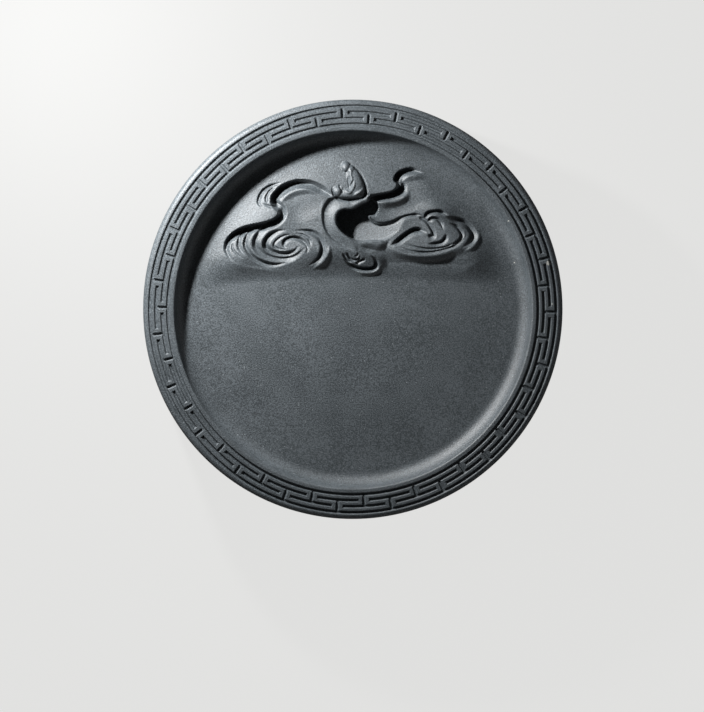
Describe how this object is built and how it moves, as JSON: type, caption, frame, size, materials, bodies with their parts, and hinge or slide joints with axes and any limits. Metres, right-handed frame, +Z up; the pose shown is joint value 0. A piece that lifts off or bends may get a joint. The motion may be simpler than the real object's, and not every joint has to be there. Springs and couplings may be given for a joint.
{
  "type": "ink stone",
  "caption": "Round slate ink stone for grinding ink: sunk domed grinding bed inside a raised rim with a carved key fret, and a carved cloud, crescent sun and figure scene at the far side.",
  "frame": {"origin": "centre of the underside, in the plane the foot ring rests on", "axes": "+Z up out of the grinding bed; +Y from the grinding half towards the carved half; +X to the right when the carving reads upright"},
  "size_m": [0.089, 0.089, 0.019],
  "materials": {
    "slate": "fine-grained slate, honed to a soft satin, with minute mineral specks"
  },
  "bodies": {
    "root": {"stone_body": "slate", "fret_rim": "slate", "sun_crescent": "slate", "seated_figure": "slate", "upper_cloud": "slate", "left_whorl": "slate", "right_cloud": "slate", "cloud_ribbon": "slate", "right_ripple": "slate", "lower_curl": "slate"}
  },
  "joints": []
}
